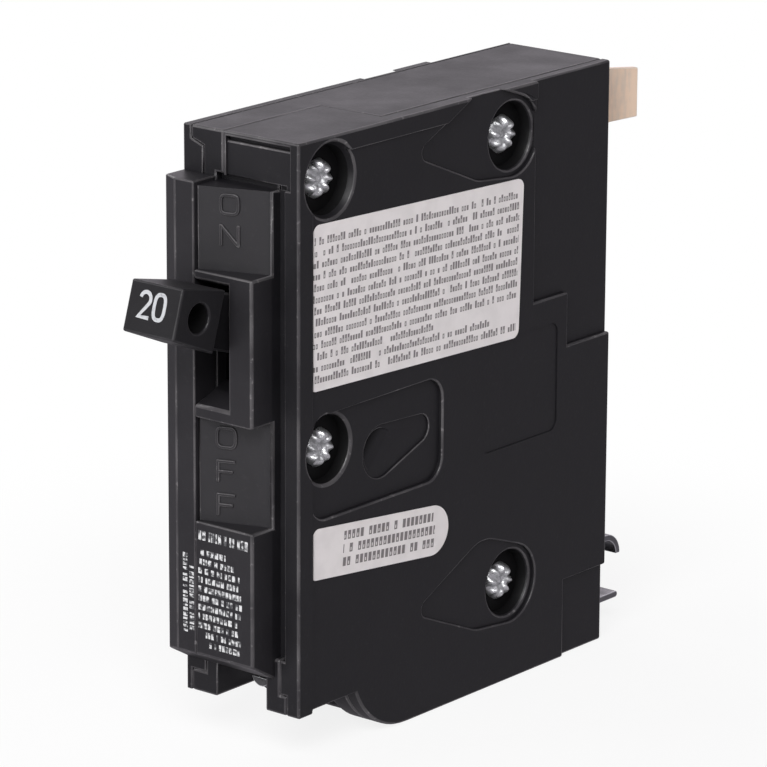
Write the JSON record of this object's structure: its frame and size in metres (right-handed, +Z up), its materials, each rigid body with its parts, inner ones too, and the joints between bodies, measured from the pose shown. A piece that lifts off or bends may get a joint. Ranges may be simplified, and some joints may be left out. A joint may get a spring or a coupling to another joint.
{
  "type": "circuit breaker",
  "caption": "Slim single-pole plug-on circuit breaker: black three-piece case, rocker handle in a front boss, copper jaw and rail clip behind, wire lug between the feet.",
  "frame": {"origin": "centre of the case's bottom face: middle of the pole's width and of the case's depth", "axes": "+X across the pole to the label side, +Y from the handle to the jaw, +Z up towards the on side"},
  "size_m": [0.019, 0.09, 0.0816],
  "materials": {
    "case_plastic": "satin black moulded",
    "handle_plastic": "satin black moulded",
    "copper": "bare copper alloy",
    "silver": "satin silver alloy",
    "zinc_steel": "zinc plated",
    "spring_steel": "bright spring steel",
    "magnet_steel": "plain steel",
    "bimetal": "rolled bimetal strip",
    "lug_alloy": "tin plated",
    "fibre": "vulcanised fibre",
    "label_film": "matt white film"
  },
  "bodies": {
    "case": {"left_cover": "case_plastic", "centre_housing": "case_plastic", "right_cover": "case_plastic", "arm_pin": "zinc_steel", "fixed_contact": "silver", "line_terminal": "copper", "jaw_spring": "spring_steel", "arc_plates": "magnet_steel", "arc_side_sheets": "fibre", "toggle_spring": "spring_steel", "trip_pin": "zinc_steel", "trip_spring": "spring_steel", "armature_pin": "zinc_steel", "magnet_yoke": "magnet_steel", "bimetal": "bimetal", "flexible_lead": "copper", "load_strap": "copper", "calibration_screw": "zinc_steel", "wire_lug": "lug_alloy", "rail_clip": "spring_steel", "rivets": "zinc_steel", "label_large": "label_film", "label_small": "label_film"},
    "handle": {"handle": "handle_plastic"},
    "arm": {"contact_arm": "copper", "moving_contact": "silver"},
    "trip": {"trip_lever": "zinc_steel"},
    "armature": {"armature": "magnet_steel"},
    "pad": {"pressure_pad": "zinc_steel"},
    "screw": {"terminal_screw": "zinc_steel"}
  },
  "joints": [
    {"name": "handle_pivot", "type": "hinge", "parent": "case", "child": "handle", "pos_m": [-0.00127, -0.02625, 0.05495], "axis": [1, 0, 0], "range_deg": [0, 35], "deforming": ["toggle_spring", "flexible_lead"]},
    {"name": "arm_swing", "type": "hinge", "parent": "case", "child": "arm", "pos_m": [0.00046, -0.01575, 0.05415], "axis": [1, 0, 0], "range_deg": [0, 14], "deforming": ["toggle_spring", "flexible_lead"]},
    {"name": "trip_turn", "type": "hinge", "parent": "case", "child": "trip", "pos_m": [0.00046, -0.00275, 0.04815], "axis": [1, 0, 0], "range_deg": [0, 10], "deforming": ["trip_spring"]},
    {"name": "armature_pull", "type": "hinge", "parent": "case", "child": "armature", "pos_m": [0.00046, -0.00795, 0.02315], "axis": [1, 0, 0], "range_deg": [0, 3]},
    {"name": "clamp_advance", "type": "slide", "parent": "case", "child": "pad", "axis": [0, 1, 0], "range_m": [0, 0.0045]},
    {"name": "screw_turn", "type": "hinge", "parent": "pad", "child": "screw", "pos_m": [-0.00022, -0.02885, 0.00925], "axis": [0, 1, 0], "range_deg": [0, 1620]}
  ],
  "couplings": [
    {"joint": "arm_swing", "follows": "handle_pivot", "ratio": 0.4},
    {"joint": "armature_pull", "follows": "trip_turn", "ratio": 0.3},
    {"joint": "screw_turn", "follows": "clamp_advance", "rad_per_m": 6283.2}
  ]
}
